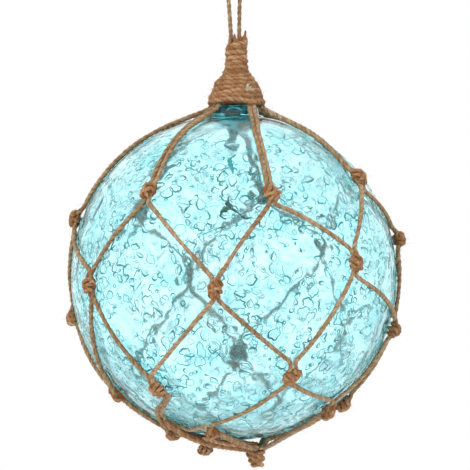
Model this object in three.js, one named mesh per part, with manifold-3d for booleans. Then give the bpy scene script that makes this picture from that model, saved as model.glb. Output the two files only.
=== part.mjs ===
// A glass float ball in a hand-knotted twine net, hung by its own loop of twine.
// Millimetres, +Z up, the front towards -Y. The origin is the inside of the loop's crown.
import * as THREE from 'three'
import { mergeVertices } from 'three/addons/utils/BufferGeometryUtils.js'
import Module from 'manifold-3d'

const wasm = await Module()
wasm.setup()

// Driving dimensions
const BALL_DIAMETER = 150
const TWINE_DIAMETER = 2.1
const GAP = 0.3 // left between pieces that touch
const BALL_DROP = 150 // from the inside of the loop's crown down to the ball's centre

// Sizes that follow from them
const BALL_RADIUS = BALL_DIAMETER / 2
const TWINE_RADIUS = TWINE_DIAMETER / 2
const HALF_PAIR = TWINE_RADIUS + GAP / 2 // from the middle of a doubled cord to either twine

// The glass neck, and the collar of wound twine over it. Heights are above the ball's centre.
const NECK_RADIUS = 10.5
const NECK_TOP = 78.4
const NECK_FILLET = 1.5
const COLLAR_X = 1.1 // the collar sits a little to the right of the ball's centre
const COLLAR_BOTTOM = NECK_TOP + GAP
const COLLAR_TOP = 108.6
const COLLAR_TURNS = 12
const TURN_DEPTH = 0.55 // groove between two turns of the winding
// The collar's outer radius by height: a bell over the neck, then a narrow stalk
const COLLAR_OUTLINE = [[78.7, 13.6], [83.7, 12.2], [88.8, 10.2], [92.3, 7.2], [96, 5.5], [108.6, 5.1]]
const RIM_RADIUS = 12.2 // where the net's twines come out under the collar
const RIM_HEIGHT = 77.3

// The knot that gathers the net under the ball
const BOTTOM_KNOT = new THREE.Vector3(10, -1, -79)
const GATHER_RADIUS = 4.8
const GATHER_RIM = 5.6 // where the net's twines meet it
const KNOT_HALF_SIZE = new THREE.Vector3(3.7, 2.7, 4.5) // across, out of the ball, along the cords

// Seven doubled cords, split and tied to their neighbours in four rows of knots. Each knot has its
// longitude (0 in front, + to the right) and latitude, in degrees. Rows 1 and 3 tie a cord's own two
// twines, and rows 2 and 4 tie the twine on its right to the next cord's left one.
const CORDS = 7
const KNOT_ROWS = [
  [[-87, 20], [-34, 30], [14, 29], [62, 35.5], [118, 38], [168, 34], [222, 26]],
  [[-56, -2], [-6, -3], [44, 5.5], [88, 13], [145, 11], [197, 0], [263, -14]],
  [[-76, -44], [-34, -39], [23, -33], [82, -18], [130, -22], [178, -30], [232, -40]],
  [[-70, -67.5], [-16, -63], [60, -51], [92, -49], [152, -54], [205, -62], [225, -77]]
]
const RIM_LONGITUDES = [-97, -52, 44, 88, 132, 180, 222] // of the doubled cords under the collar
const GATHER_LONGITUDE = -60 // of the first doubled cord at the bottom knot

// The hanging loop's two legs as [x, height], from the collar up to the round crown
const LEFT_LEG = [[-1.3, 108.9], [-1.7, 116], [-2.15, 123], [-2.7, 130], [-3.55, 137], [-4.3, 142.5]]
const RIGHT_LEG = [[2.4, 108.9], [2.45, 116], [2.5, 123], [2.8, 130], [3.5, 137], [4.3, 142.5]]
const CROWN_RADIUS = 4.6
// The twines' cut ends on top of the collar: [x, y] from its axis, and length
const CUT_ENDS = [[-0.6, -2.8, 3.2], [3.7, -0.8, 4.6], [2.2, 2.9, 2.6], [-1.7, 3, 3.8]]

// Faceting
const BALL_SEGMENTS = 32
const BALL_RINGS = 18
const COLLAR_SEGMENTS = 18
const TWINE_SIDES = 5
const TWINE_STEP = 14
const STEP_LIFT = 0.3 // keeps the straight steps of a twine off the ball
const KNOT_FACETS = [6, 4]
const LOOP_SIDES = 8
const SLIVER = 0.002 // corners closer than this are one corner

const NET_RADIUS = BALL_RADIUS + GAP + TWINE_RADIUS + STEP_LIFT // of the twines' centre lines

const glass = () => new THREE.MeshStandardMaterial({ color: 0x7fd6e2, roughness: 0.08, metalness: 0 })
const twine = () => new THREE.MeshStandardMaterial({ color: 0x9a6b42, roughness: 0.95, metalness: 0 })

// A unit vector from the ball's centre, from a longitude and latitude in degrees
function direction(longitude, latitude) {
  const [lon, lat] = [longitude, latitude].map(THREE.MathUtils.degToRad)
  return new THREE.Vector3(Math.cos(lat) * Math.sin(lon), -Math.cos(lat) * Math.cos(lon), Math.sin(lat))
}

function toSolid(geometry) {
  const bare = geometry.clone()
  bare.deleteAttribute('normal')
  bare.deleteAttribute('uv')
  const merged = mergeVertices(bare, 1e-4)
  return new wasm.Manifold(new wasm.Mesh({
    numProp: 3,
    vertProperties: new Float32Array(merged.attributes.position.array),
    triVerts: new Uint32Array(merged.index.array)
  }))
}

// A solid's surface, with the corners that a cut left all but touching joined into one
function toGeometry(solid) {
  const mesh = solid.getMesh()
  const rough = new THREE.BufferGeometry()
  rough.setAttribute('position', new THREE.BufferAttribute(mesh.vertProperties, 3))
  rough.setIndex(new THREE.BufferAttribute(mesh.triVerts, 1))
  const geometry = mergeVertices(rough, SLIVER)
  const corners = Array.from(geometry.index.array)
  const kept = corners.filter((_, i) => {
    const [a, b, c] = corners.slice(i - (i % 3), i - (i % 3) + 3)
    return a !== b && b !== c && c !== a
  })
  geometry.setIndex(kept)
  geometry.computeVertexNormals()
  return geometry
}

// LatheGeometry turns about +Y, so its geometry is stood up onto +Z
function lathe(profile, segments) {
  const points = profile.map(([radius, height]) => new THREE.Vector2(radius, height))
  return new THREE.LatheGeometry(points, segments).rotateX(Math.PI / 2)
}

// A smooth route that reaches its own points at equal steps, so that a tube's rings stand on them
class Route extends THREE.CatmullRomCurve3 {
  constructor(points) {
    super(points, false, 'centripetal')
  }
  getPointAt(part, target) {
    return this.getPoint(part, target)
  }
  getTangentAt(part, target) {
    return this.getTangent(part, target)
  }
}

function tube(points, sides) {
  const section = new THREE.Shape()
  for (let i = 0; i < sides; i++) {
    const angle = (2 * Math.PI * i) / sides
    const corner = [TWINE_RADIUS * Math.cos(angle), TWINE_RADIUS * Math.sin(angle)]
    if (i === 0) section.moveTo(...corner)
    else section.lineTo(...corner)
  }
  return new THREE.ExtrudeGeometry(section, { steps: points.length - 1, extrudePath: new Route(points) })
}

// The ball with its low neck, turned as one solid
function glassBall() {
  const neckLatitude = Math.acos((NECK_RADIUS + NECK_FILLET) / BALL_RADIUS)
  const profile = [[0, -BALL_RADIUS]]
  for (let i = 1; i <= BALL_RINGS; i++) {
    const latitude = -Math.PI / 2 + ((neckLatitude + Math.PI / 2) * i) / BALL_RINGS
    profile.push([BALL_RADIUS * Math.cos(latitude), BALL_RADIUS * Math.sin(latitude)])
  }
  const shoulder = BALL_RADIUS * Math.sin(neckLatitude)
  profile.push([NECK_RADIUS, shoulder + NECK_FILLET], [NECK_RADIUS, NECK_TOP - 1])
  profile.push([NECK_RADIUS - 1, NECK_TOP], [0, NECK_TOP])
  return lathe(profile, BALL_SEGMENTS)
}

function collarRadius(height) {
  const above = COLLAR_OUTLINE.findIndex(([level]) => level >= height)
  const [level, radius] = COLLAR_OUTLINE[Math.max(above, 1)]
  const [levelBelow, radiusBelow] = COLLAR_OUTLINE[Math.max(above, 1) - 1]
  return THREE.MathUtils.mapLinear(height, levelBelow, level, radiusBelow, radius)
}

// Turns of twine wound round the gathered net, with the twines' cut ends standing on top
function ropeCollar() {
  const pitch = (COLLAR_TOP - COLLAR_BOTTOM) / COLLAR_TURNS
  const profile = [[0, COLLAR_BOTTOM]]
  for (let turn = 0; turn < COLLAR_TURNS; turn++) {
    const crest = COLLAR_BOTTOM + (turn + 0.5) * pitch
    profile.push([collarRadius(crest) - TURN_DEPTH, crest - 0.45 * pitch])
    profile.push([collarRadius(crest), crest])
  }
  profile.push([collarRadius(COLLAR_TOP) - TURN_DEPTH, COLLAR_TOP], [0, COLLAR_TOP])
  let solid = toSolid(lathe(profile, COLLAR_SEGMENTS))
  for (const [x, y, length] of CUT_ENDS) {
    const foot = new THREE.Vector3(x, y, COLLAR_TOP - TWINE_RADIUS)
    const tip = new THREE.Vector3(x * 1.15, y * 1.15, COLLAR_TOP + length)
    solid = solid.add(toSolid(tube([foot, tip], TWINE_SIDES)))
  }
  return toGeometry(solid).translate(COLLAR_X, 0, 0)
}

// Points of a twine pulled tight over the ball between two places, in steps of about TWINE_STEP:
// straight where it stands off the ball, and along a great circle where it lies on it
function taut(from, to) {
  const spread = from.angleTo(to)
  const side = new THREE.Vector3().crossVectors(from, to).normalize()
  const leave = Math.acos(Math.min(1, NET_RADIUS / from.length()))
  const land = Math.acos(Math.min(1, NET_RADIUS / to.length()))
  const marks = [from]
  if (leave + land < spread) {
    const ray = from.clone().normalize()
    const at = angle => ray.clone().applyAxisAngle(side, angle).multiplyScalar(NET_RADIUS)
    const pieces = Math.max(1, Math.ceil(((spread - leave - land) * NET_RADIUS) / TWINE_STEP))
    for (let i = leave > 0.01 ? 0 : 1; i <= (land > 0.01 ? pieces : pieces - 1); i++) {
      marks.push(at(leave + ((spread - leave - land) * i) / pieces))
    }
  }
  marks.push(to)
  const points = [from]
  for (let i = 1; i < marks.length; i++) {
    const pieces = Math.max(1, Math.round(marks[i].distanceTo(marks[i - 1]) / TWINE_STEP))
    for (let j = 1; j <= pieces; j++) points.push(marks[i - 1].clone().lerp(marks[i], j / pieces))
  }
  return points
}

// A knot's place: out of the ball, across the pair of twines that it ties, and along them
function knotFrame(row, column) {
  const above = new THREE.Vector3(COLLAR_X, 0, COLLAR_BOTTOM).normalize()
  const pole = above.lerp(BOTTOM_KNOT.clone().normalize().negate(), row / (KNOT_ROWS.length - 1))
  const out = direction(...KNOT_ROWS[row][column])
  const across = pole.cross(out).normalize()
  return { out, across, along: new THREE.Vector3().crossVectors(out, across) }
}

// Half of a knot, on one side of the plane between its two twines
function halfKnot({ out, across, along }, hand) {
  const lump = new THREE.SphereGeometry(1, ...KNOT_FACETS).scale(...KNOT_HALF_SIZE.toArray())
  const reach = 4 * KNOT_HALF_SIZE.z
  const block = new THREE.BoxGeometry(reach, reach, reach).translate(hand * (reach / 2 + GAP / 2), 0, 0)
  const half = toGeometry(toSolid(lump).intersect(toSolid(block)))
  const centre = out.clone().multiplyScalar(BALL_RADIUS + GAP + KNOT_HALF_SIZE.y)
  const place = new THREE.Matrix4().makeBasis(across, out.clone().negate(), along).setPosition(centre)
  return toSolid(half.applyMatrix4(place))
}

function onRing(centre, radius, longitude) {
  return direction(longitude, 0).multiplyScalar(radius).add(centre)
}

// One of a doubled cord's two twines, hand -1 on its left and +1 on its right, from under the collar
// through its four knots to the bottom knot
function netStrand(cord, hand) {
  const neighbour = (cord + (hand > 0 ? 0 : CORDS - 1)) % CORDS
  const knots = [[cord, hand], [neighbour, -hand], [cord, hand], [neighbour, -hand]].map(
    ([column, side], row) => ({ side, ...knotFrame(row, column) })
  )
  const rim = onRing(new THREE.Vector3(COLLAR_X, 0, RIM_HEIGHT), RIM_RADIUS, RIM_LONGITUDES[cord])
  const rimAcross = new THREE.Vector3().crossVectors(rim, knots[0].out).normalize()
  const gatherTurn = (360 / CORDS) / 4
  const gatherLongitude = GATHER_LONGITUDE + (360 / CORDS) * neighbour
  const stops = [
    rim.addScaledVector(rimAcross, hand * HALF_PAIR),
    ...knots.map(({ side, out, across }) =>
      out.clone().multiplyScalar(NET_RADIUS).addScaledVector(across, side * HALF_PAIR).setLength(NET_RADIUS)
    ),
    onRing(BOTTOM_KNOT, GATHER_RIM, gatherLongitude - hand * gatherTurn)
  ]
  const points = [stops[0]]
  for (let i = 1; i < stops.length; i++) points.push(...taut(stops[i - 1], stops[i]).slice(1))
  let solid = toSolid(tube(points, TWINE_SIDES))
  for (const knot of knots) solid = solid.add(halfKnot(knot, knot.side))
  return toGeometry(solid)
}

// The net's twines gathered and tied under the ball
function bottomKnot() {
  const profile = [[0, -8.9], [1.6, -8.7], [3.4, -7.2], [4.1, -5], [3.9, -2.6], [GATHER_RADIUS, -1.4]]
  profile.push([GATHER_RADIUS, 1.6], [3.2, 2.4], [0, 2.4])
  return lathe(profile, 16).translate(...BOTTOM_KNOT.toArray())
}

function hangingLoop() {
  const crownHeight = BALL_DROP + TWINE_RADIUS - CROWN_RADIUS
  const crown = []
  for (let i = 0; i <= 6; i++) {
    const angle = Math.PI * (1 - i / 6)
    crown.push([CROWN_RADIUS * Math.cos(angle), crownHeight + CROWN_RADIUS * Math.sin(angle)])
  }
  const route = [...LEFT_LEG, ...crown, ...RIGHT_LEG.slice().reverse()]
  return tube(route.map(([x, height]) => new THREE.Vector3(x, 0, height)), LOOP_SIDES)
}

const float = new THREE.Group()
float.position.z = -BALL_DROP

function addPiece(name, geometry, material) {
  const mesh = new THREE.Mesh(geometry, material)
  mesh.name = name
  float.add(mesh)
}

addPiece('glass_ball', glassBall(), glass())
addPiece('rope_collar', ropeCollar(), twine())
for (let cord = 0; cord < CORDS; cord++) {
  addPiece(`net_twine_${cord + 1}_left`, netStrand(cord, -1), twine())
  addPiece(`net_twine_${cord + 1}_right`, netStrand(cord, 1), twine())
}
addPiece('bottom_knot', bottomKnot(), twine())
addPiece('hanging_loop', hangingLoop(), twine())

const model = new THREE.Group()
model.add(float)
export default model
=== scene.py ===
"""A glass float ball in a hand-knotted jute net, hung by its own loop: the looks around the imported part.

Shapes are worked out in millimetres from the ball's centre, +Z up and the front towards -Y.
"""
import math
import random

import bpy
import numpy as np
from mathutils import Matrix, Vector
from mathutils.kdtree import KDTree


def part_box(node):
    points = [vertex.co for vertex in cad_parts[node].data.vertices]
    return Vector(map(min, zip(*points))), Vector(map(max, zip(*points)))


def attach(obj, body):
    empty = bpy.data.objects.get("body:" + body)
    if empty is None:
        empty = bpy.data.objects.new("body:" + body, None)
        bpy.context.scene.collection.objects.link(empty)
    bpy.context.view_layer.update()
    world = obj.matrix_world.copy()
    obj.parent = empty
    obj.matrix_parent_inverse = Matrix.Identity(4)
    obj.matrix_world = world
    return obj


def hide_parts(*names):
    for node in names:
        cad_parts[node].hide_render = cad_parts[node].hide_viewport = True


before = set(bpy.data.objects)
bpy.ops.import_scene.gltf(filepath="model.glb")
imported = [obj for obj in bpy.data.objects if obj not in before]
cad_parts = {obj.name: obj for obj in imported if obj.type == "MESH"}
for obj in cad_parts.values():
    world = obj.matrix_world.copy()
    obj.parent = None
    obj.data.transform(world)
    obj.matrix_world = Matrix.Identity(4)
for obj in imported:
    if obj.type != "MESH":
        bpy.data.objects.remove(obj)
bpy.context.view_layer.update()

MM = 0.001
ball_low, ball_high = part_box("glass_ball")
BALL_RADIUS = (ball_high.x - ball_low.x) / 2 / MM
CENTRE = np.array([(ball_low.x + ball_high.x) / 2, (ball_low.y + ball_high.y) / 2, ball_low.z]) / MM
CENTRE[2] += BALL_RADIUS

# The part's own sizes, the same as its solids have
TWINE_RADIUS = 1.05
GAP = 0.3
NECK_TOP = 78.4
COLLAR_X = 1.1
COLLAR_OUTLINE = [(78.7, 13.6), (83.7, 12.2), (88.8, 10.2), (92.3, 7.2), (96, 5.5), (108.6, 5.1)]
RIM_RADIUS = 12.2
RIM_HEIGHT = 77.3
BOTTOM_KNOT = np.array([10.0, -1.0, -79.0])
GATHER_RIM = 5.6
CORDS = 7
KNOT_ROWS = [
    [(-87, 20), (-34, 30), (14, 29), (62, 35.5), (118, 38), (168, 34), (222, 26)],
    [(-56, -2), (-6, -3), (44, 5.5), (88, 13), (145, 11), (197, 0), (263, -14)],
    [(-76, -44), (-34, -39), (23, -33), (82, -18), (130, -22), (178, -30), (232, -40)],
    [(-70, -67.5), (-16, -63), (60, -51), (92, -49), (152, -54), (205, -62), (225, -77)],
]
GATHER_LONGITUDE = -60
LEFT_LEG = [(-1.3, 108.9), (-1.7, 116), (-2.15, 123), (-2.7, 130), (-3.55, 137), (-4.3, 142.5)]
RIGHT_LEG = [(2.4, 108.9), (2.45, 116), (2.5, 123), (2.8, 130), (3.5, 137), (4.3, 142.5)]
CROWN_RADIUS = 4.6
CROWN_HEIGHT = 150 + TWINE_RADIUS - CROWN_RADIUS
# The cut ends over the collar: x, y and how far each stands up
CUT_ENDS = [(-0.6, -2.8, 3.2), (3.7, -0.8, 5.0), (2.2, 2.9, 2.6), (-1.7, 3, 3.0), (0.5, -3.0, 1.6), (2.9, -1.9, 2.4),
            (-2.4, -1.6, 1.8), (1.6, -2.4, 2.9), (4.0, 0.6, 2.2), (-2.9, 0.8, 1.4)]

# What the real net adds to those: where the cords leave the collar, how some knots sit, where a twine is held off its
# shortest way, and loose ends. Knots are keyed by row and column, twines by cord, row and hand.
RIM_LONGITUDES = [-97, -52, 36, 84, 132, 180, 222]
PAIR_OFFSET = 1.0
KNOT_HABITS = {
    (0, 1): (0, 1.05, 1.04, 0.0), (0, 2): (-52, 1.28, 1.0, 0.0), (0, 3): (15, 1.2, 1.05, 0.3),
    (1, 0): (-10, 1.3, 1.0, 0.0), (1, 1): (36, 1.32, 1.04, 0.0), (1, 2): (8, 1.28, 1.0, 0.0),
    (1, 3): (10, 1.2, 1.0, 0.0),
    (2, 0): (-35, 1.45, 0.9, -0.9), (2, 1): (-6, 1.32, 1.03, 0.0), (2, 2): (26, 1.22, 1.04, 0.0),
    (2, 3): (0, 1.2, 1.0, 0.0),
    (3, 0): (35, 1.15, 0.8, 0.9), (3, 1): (50, 1.2, 1.0, 0.0), (3, 6): (0, 1.15, 1.0, 4.8)}
KNOT_TURNS = {(2, 1): 18}
HELD = {(2, 0, -1): [(9.9, 65.3), (12.1, 56.7)], (2, 0, 1): [(9.9, 65.3), (12.1, 56.7)],
        (1, 3, 1): [(-32.6, -60), (-31.2, -63.2), (-27, -66), (-20, -68.6)], (1, 3, -1): [(-34.4, -59), (-33.6, -63)],
        (2, 4, 1): [(36, -66.5), (26, -71.2), (16, -74.4)]}
# Loose ends: row, column, sideways, length and rise. Spare ends: x, z and lift of each place, and a tone.
LOOSE_ENDS = [(1, 0, 1.0, 7.5, 0.12), (2, 1, -1.0, 4.0, 2.4), (1, 4, -1.0, 6.0, -0.4), (2, 5, 1.0, 5.0, 0.5),
              (0, 5, 1.0, 6.0, -0.2)]
# The ends that lie lower in the bundle are given lower tones: painted shade under the ends above them.
SPARE_ENDS = [
    ([(-31, -64.5, 1.5), (-22, -70.5, 2.2), (-12, -74.6, 2.4), (-2, -77.3, 2.2), (8, -79.5, 3)], 0.35),
    ([(-33.5, -63, 0.6), (-24, -69.5, 0.4), (-13, -73.3, 0.6), (-3, -75.6, 0.8), (7, -77.5, 2)], 0.25),
    ([(-30, -66.5, 2.6), (-20.5, -72.3, 3.0), (-12, -75.8, 3.4), (0, -78.6, 3.0), (8.5, -80.2, 4)], 0.5),
    ([(-14, -72, 2.0), (-4, -75.2, 2.0), (4, -76.8, 2.0), (11, -78, 3)], 0.55),
    ([(-33, -63.8, -0.2), (-21, -71.5, 0.2), (-9, -74.2, 0.4), (3, -75.2, 0.6), (11, -77, 1.6)], 0.15)]

# How the glass is made
WALL = 3.0
OUTER_SWELL = 0.035
INNER_SWELL = 0.05
SEAM_DEPTH = 0.1
CHIP_TRIES = 9000
SEAM_STEP = 0.68
SQUIGGLES = 1040
# Clear places: longitude, latitude and half width in degrees. Drips: half width, tone, and x and z of each place.
CLEAR_PLACES = [(-2, 3, 8), (22, 8, 8), (-27, 10, 7), (-12, -8, 7), (13, -5, 6), (-2, 62, 10), (-40, -14, 6),
                (150, 10, 14), (210, 25, 12), (250, -20, 12), (95, 0, 10)]
DRIPS = [(1.0, 0.1, [(1.2, 56), (-2.2, 53.3), (-1.3, 51), (-0.4, 46.8)]),
         (0.28, -0.8, [(-2, 50), (-5.7, 47.5), (-7.5, 43.2)]),
         (0.45, -0.6, [(-3.9, 43.6), (-2.6, 41), (-5.3, 38.9), (-5.4, 36.8), (-3.4, 35.8)]),
         (1.25, -1.0, [(-2.2, 36.6), (-3.1, 33.4), (-1.2, 32), (-5.3, 30.3), (-6.2, 27.7), (-3.3, 26.6)]),
         (0.7, -0.9, [(-5, 30.4), (-1, 31.2), (1.5, 29.6), (4.8, 26.6), (8.2, 27.5)]),
         (0.35, -0.6, [(-4.8, 26), (-4.3, 23.3), (-8.2, 22.1), (-13.2, 20), (-16.6, 17.9)]),
         (0.4, 0.0, [(5.6, 46.5), (6.6, 44), (5.2, 42.3)]), (0.4, 0.0, [(11.5, 54), (13.2, 51), (14.4, 48.2)])]
ABSORPTION = (0.018, 0.839, 0.893)
ABSORPTION_DENSITY = 56.0
OUTER_GRID = 112
INNER_GRID = 46
GLASS_TINT = (0.87, 0.99, 1.0)
GLASS_PALE = (1.0, 1.0, 1.0)
GLASS_DEEP = (0.55, 0.90, 0.94)
GLASS_BLUE = (0.86, 0.93, 1.0)
NECK_THICK_AND_SHADED = (0.04, 0.26, 0.26)
NECK_PALE = (0.25, 0.70, 0.70)

# How the twine is laid
LAY_RADIUS = BALL_RADIUS + TWINE_RADIUS + 0.1
TWIST_PITCH = 5.6
GROOVE = 0.27
RING_STEP = 0.55
SIDES = 12
STEM_SIDES = 20

# The studio. The backdrop's strength is the last value for every ray, plus what each kind of ray adds. A ray through
# the rough glass counts as both through glass and mirrored, so it meets 1.54.
CAMERA_ADDS, THROUGH_GLASS_ADDS, MIRRORED_ADDS, BACKDROP = 0.12, 0.36, 0.3, 0.88
FLOOR_HALF, FLOOR_LEVEL = 3.6, -0.62

chance = random.Random(7)


# ---------------------------------------------------------------- shapes from numbers

def unit(vector):
    return vector / np.linalg.norm(vector)


def direction(longitude, latitude):
    lon, lat = math.radians(longitude), math.radians(latitude)
    return np.array([math.cos(lat) * math.sin(lon), -math.cos(lat) * math.cos(lon), math.sin(lat)])


def turned(vector, axis, angle):
    return vector * math.cos(angle) + np.cross(axis, vector) * math.sin(angle)


def resampled(points, step):
    """The same route in equal steps of about `step`."""
    points = np.asarray(points, float)
    along = np.concatenate([[0], np.cumsum(np.linalg.norm(np.diff(points, axis=0), axis=1))])
    count = max(3, int(round(along[-1] / step)) + 1)
    marks = np.linspace(0, along[-1], count)
    return np.stack([np.interp(marks, along, points[:, k]) for k in range(3)], axis=1)


def relaxed(points, passes, floor_radius=0.0):
    """Corners eased into bends, with nothing pressed closer to the ball's centre than floor_radius."""
    points = points.copy()
    for _ in range(passes):
        points[1:-1] = (points[:-2] + 2 * points[1:-1] + points[2:]) / 4
        if floor_radius:
            reach = np.linalg.norm(points, axis=1, keepdims=True)
            points = points * np.maximum(1, floor_radius / reach)
    return points


def wander(count, scale, size, source):
    """A smooth random drift of `count` values, one wave in about `scale` of them."""
    knots = max(3, int(count / scale) + 2)
    values = np.array([source.uniform(-1, 1) for _ in range(knots)])
    places = np.linspace(0, knots - 1, count)
    low = np.floor(places).astype(int).clip(0, knots - 2)
    part = places - low
    part = part * part * (3 - 2 * part)
    return size * (values[low] * (1 - part) + values[low + 1] * part)


def frames(path):
    """Tangents and two cross directions carried along the path without twist."""
    tangents = np.gradient(path, axis=0)
    tangents /= np.linalg.norm(tangents, axis=1, keepdims=True)
    first = np.cross(tangents[0], [0.31, 0.87, 0.41])
    normals = [unit(first)]
    for tangent in tangents[1:]:
        side = normals[-1] - tangent * np.dot(normals[-1], tangent)
        normals.append(unit(side))
    normals = np.array(normals)
    return tangents, normals, np.cross(tangents, normals)


def skin(count, sides):
    """Faces of a tube of `count` rings, closed by the two corners that follow the rings, one at each end."""
    first, last, end = count * sides, count * sides + 1, (count - 1) * sides
    faces = []
    for k in range(sides):
        after = (k + 1) % sides
        faces += [(first, after, k), (last, end + k, end + after)]
        faces += [(i + k, i + after, i + sides + after, i + sides + k) for i in range(0, end, sides)]
    return faces


class Bundle:
    """Meshes gathered into one piece. Each corner keeps where it is in its twine, and a tone."""

    def __init__(self):
        self.corners, self.faces, self.lay, self.tone = [], [], [], []
        self.count = 0
        self.routes = []

    def add(self, corners, faces, lay, tone):
        self.corners.append(corners)
        self.faces += [tuple(self.count + i for i in face) for face in faces]
        self.lay.append(lay)
        self.tone.append(tone)
        self.count += len(corners)

    def twine(self, path, radius=TWINE_RADIUS, tone=0.5, groove=GROOVE, sides=SIDES, pitch=TWIST_PITCH,
              ends=(0.5, 0.5), hand=1, source=chance, fuzz=1.0, rough=0.05, swell=0.06):
        """Two-ply twine along a path in equal steps. `ends` is how far each end narrows."""
        count = len(path)
        tangents, normals, sides_way = frames(path)
        step = np.linalg.norm(path[1] - path[0])
        along = np.arange(count) * step
        phase = source.uniform(0, 2 * math.pi)
        twist = hand * 2 * math.pi * along / pitch + phase + wander(count, 14, 0.7, source)
        widths = radius * (1 + wander(count, 5, 0.06, source) + wander(count, 24, swell, source))
        reach = min(4, count // 3)
        for i in range(reach):
            part = math.sin(math.pi / 2 * (i + 0.5) / reach)
            widths[i] *= ends[0] + (1 - ends[0]) * part
            widths[-1 - i] *= ends[1] + (1 - ends[1]) * part
        angles = 2 * math.pi * np.arange(sides) / sides
        section = 1 - groove * (1 - np.abs(np.cos(angles))) ** 1.3
        around = angles[None, :] + twist[:, None]
        uneven = np.random.RandomState(source.randrange(2 ** 31)).uniform(-1, 1, (count, sides)) * rough
        spread = (widths[:, None] * (section[None, :] + uneven))[..., None]
        ring = normals[:, None, :] * np.cos(around)[..., None] + sides_way[:, None, :] * np.sin(around)[..., None]
        corners = (path[:, None, :] + ring * spread).reshape(-1, 3)
        start = source.uniform(0, 900)
        lay = np.empty((count, sides, 3))
        lay[..., 0] = np.cos(angles)[None, :]
        lay[..., 1] = np.sin(angles)[None, :]
        lay[..., 2] = (along + start)[:, None]
        lay = lay.reshape(-1, 3)
        tips = np.array([path[0] - tangents[0] * 0.3 * radius, path[-1] + tangents[-1] * 0.3 * radius])
        corners = np.concatenate([corners, tips])
        lay = np.concatenate([lay, [[0, 0, start], [0, 0, start + along[-1]]]])
        tones = np.broadcast_to(tone, count) + wander(count, 16, 0.12, source)
        self.add(corners, skin(count, sides), lay, np.concatenate([np.repeat(tones, sides), tones[[0, -1]]]))
        if fuzz > 0:
            self.routes.append((path, tangents, normals, sides_way, widths, fuzz, float(np.mean(tone))))

    def lump(self, centre, axes, sizes, tone, rings=8, sides=12):
        """A plain egg, for the hidden core of a knot."""
        corners = []
        for i in range(rings - 1, 0, -1):
            polar = math.pi * i / rings
            for k in range(sides):
                around = 2 * math.pi * k / sides
                local = (math.sin(polar) * math.cos(around), math.sin(polar) * math.sin(around), math.cos(polar))
                corners.append(centre + sum(axes[n] * sizes[n] * local[n] for n in range(3)))
        corners += [centre - axes[2] * sizes[2], centre + axes[2] * sizes[2]]
        corners = np.array(corners)
        self.add(corners, skin(rings - 1, sides), corners * 0.7, np.full(len(corners), tone))

    def fibres(self, routes, per_mm, lengths=(1.2, 4.8), width=0.09, source=chance):
        """Loose fibres that stand off the twines, thin three-sided hairs that curl and taper."""
        levels = 3
        shapes = []
        for path, tangents, normals, sides_way, widths, fuzz, tone in routes:
            length = np.linalg.norm(path[1] - path[0]) * (len(path) - 1)
            for _ in range(int(length * per_mm * fuzz)):
                i = source.randrange(len(path))
                around = source.uniform(0, 2 * math.pi)
                out = normals[i] * math.cos(around) + sides_way[i] * math.sin(around)
                lift = source.uniform(0.15, 0.9)
                forward = tangents[i] * source.choice((-1, 1))
                heading = unit(forward + out * lift)
                across = np.cross(forward, out)
                bend = unit(out * source.uniform(-0.8, 0.6) + across * source.uniform(-1, 1))
                reach = lengths[0] + (lengths[1] - lengths[0]) * source.random() ** 2.2
                shapes.append((path[i] + out * widths[i] * 0.75, heading, bend, reach,
                               source.uniform(0.2, 0.9), width * source.uniform(0.6, 1.25),
                               min(1.0, max(0.0, tone + source.uniform(-0.3, 0.55)))))
        for start, heading, bend, reach, curl, thick, tone in shapes:
            side = unit(np.cross(heading, bend) + 1e-6)
            other = np.cross(side, heading)
            corners, faces = [], []
            for level in range(levels):
                part = level / levels
                spine = start + heading * reach * part + bend * reach * curl * part * part
                thin = thick / 2 * (1 - 0.6 * part)
                for k in range(3):
                    angle = 2 * math.pi * k / 3
                    corners.append(spine + side * thin * math.cos(angle) + other * thin * math.sin(angle))
            corners.append(start + heading * reach + bend * reach * curl)
            for k in range(3):
                after = (k + 1) % 3
                for level in range(levels - 1):
                    low, high = level * 3, level * 3 + 3
                    faces.append((low + k, high + k, high + after, low + after))
                faces.append(((levels - 1) * 3 + k, levels * 3, (levels - 1) * 3 + after))
            faces.append((0, 1, 2))
            corners = np.array(corners)
            self.add(corners, faces, corners * 0.5, np.full(len(corners), tone))

    def piece(self, name, material, slot="jute_twine"):
        """The gathered mesh as a Blender object in the row frame."""
        mesh = bpy.data.meshes.new(name)
        corners = (np.concatenate(self.corners) + CENTRE) * MM
        mesh.from_pydata(corners.tolist(), [], self.faces)
        mesh.polygons.foreach_set("use_smooth", [True] * len(mesh.polygons))
        lay = mesh.attributes.new("lay", "FLOAT_VECTOR", "POINT")
        lay.data.foreach_set("vector", np.concatenate(self.lay).astype(np.float32).ravel())
        tone = mesh.attributes.new("tone", "FLOAT", "POINT")
        tone.data.foreach_set("value", np.concatenate(self.tone).astype(np.float32))
        mesh.materials.append(material)
        mesh.update()
        made = bpy.data.objects.new(name, mesh)
        bpy.context.scene.collection.objects.link(made)
        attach(made, "root")
        return made


# ---------------------------------------------------------------- materials

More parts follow.
